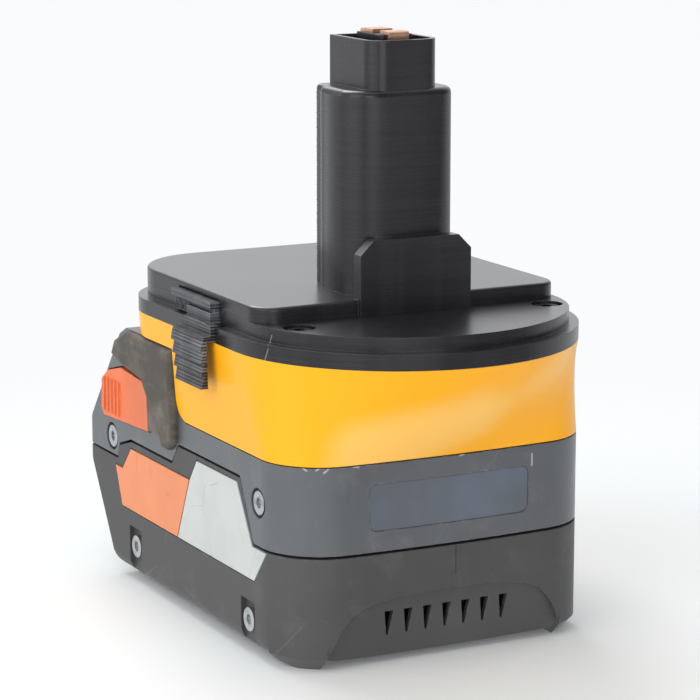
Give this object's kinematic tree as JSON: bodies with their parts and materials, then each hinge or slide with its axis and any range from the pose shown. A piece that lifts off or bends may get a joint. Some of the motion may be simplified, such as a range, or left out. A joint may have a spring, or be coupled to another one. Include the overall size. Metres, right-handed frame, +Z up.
{
  "type": "tool battery adapter",
  "caption": "Printed battery adapter with a tall contact tower and side latches, docked on a slide-on tool battery pack with side release buttons and a front vent grille.",
  "frame": {"origin": "centre of the overall box's footprint, on the floor the pack stands on", "axes": "+X across the pack to its right as seen from the vents, -Y towards the front with the vents and the adapter's nose, +Z up the tower"},
  "size_m": [0.0952, 0.1396, 0.1473],
  "materials": {
    "lower_shell": "fine moulded texture, dark grey",
    "upper_shell": "satin moulded, mid grey",
    "panel": "smooth dark panel, bare",
    "orange_label": "satin label film, bare",
    "pale_label": "satin label film, bare",
    "grip_rubber": "matt overmould",
    "screw_steel": "plated, star drive",
    "cell_can": "sleeved cells",
    "holder": "moulded frames",
    "nickel": "plain strip",
    "board": "coated board",
    "clip_brass": "formed leaf",
    "button": "satin moulded, ribbed",
    "hook": "moulded",
    "spring_steel": "wound wire",
    "amber_print": "semi-gloss amber",
    "black_print": "printed in fine layers",
    "block_plastic": "moulded",
    "copper": "copper strip",
    "red_lead": "insulated lead",
    "black_lead": "insulated lead",
    "dark_screw": "blackened",
    "latch_print": "printed in fine layers, stepped ribs"
  },
  "bodies": {
    "battery_pack": {"lower_case": "lower_shell", "upper_case": "upper_shell", "front_panel": "panel", "side_plate_left": "orange_label", "side_plate_right": "orange_label", "rating_plate_left": "pale_label", "rating_plate_right": "pale_label", "grip_left": "grip_rubber", "grip_right": "grip_rubber", "case_screws": "screw_steel", "cells": "cell_can", "cell_holder_left": "holder", "cell_holder_right": "holder", "nickel_strips": "nickel", "control_board": "board", "pack_terminals": "clip_brass", "release_spring_left": "spring_steel", "release_spring_right": "spring_steel"},
    "release_left": {"release_button_left": "button", "release_hook_left": "hook"},
    "release_right": {"release_button_right": "button", "release_hook_right": "hook"},
    "adapter": {"adapter_body": "amber_print", "lid_ring": "black_print", "tower_plate": "black_print", "terminal_block": "block_plastic", "front_contact": "copper", "rear_contact": "copper", "blade_holder": "block_plastic", "adapter_blades": "copper", "positive_wire": "red_lead", "negative_wire": "black_lead", "lid_screws": "dark_screw", "latch_spring_left": "spring_steel", "latch_spring_right": "spring_steel"},
    "latch_left": {"latch_left": "latch_print"},
    "latch_right": {"latch_right": "latch_print"}
  },
  "joints": [
    {"name": "adapter_slide", "type": "slide", "parent": "battery_pack", "child": "adapter", "axis": [0, -1, 0], "range_m": [0, 0.075]},
    {"name": "release_left_press", "type": "slide", "parent": "battery_pack", "child": "release_left", "axis": [1, 0, 0], "range_m": [0, 0.003], "stiffness_N_per_m": 1200, "springref_m": -0.002, "deforming": ["release_spring_left"]},
    {"name": "release_right_press", "type": "slide", "parent": "battery_pack", "child": "release_right", "axis": [-1, 0, 0], "range_m": [0, 0.003], "stiffness_N_per_m": 1200, "springref_m": -0.002, "deforming": ["release_spring_right"]},
    {"name": "latch_left_press", "type": "slide", "parent": "adapter", "child": "latch_left", "axis": [1, 0, 0], "range_m": [0, 0.0018], "stiffness_N_per_m": 1500, "springref_m": -0.001, "deforming": ["latch_spring_left"]},
    {"name": "latch_right_press", "type": "slide", "parent": "adapter", "child": "latch_right", "axis": [-1, 0, 0], "range_m": [0, 0.0018], "stiffness_N_per_m": 1500, "springref_m": -0.001, "deforming": ["latch_spring_right"]}
  ]
}
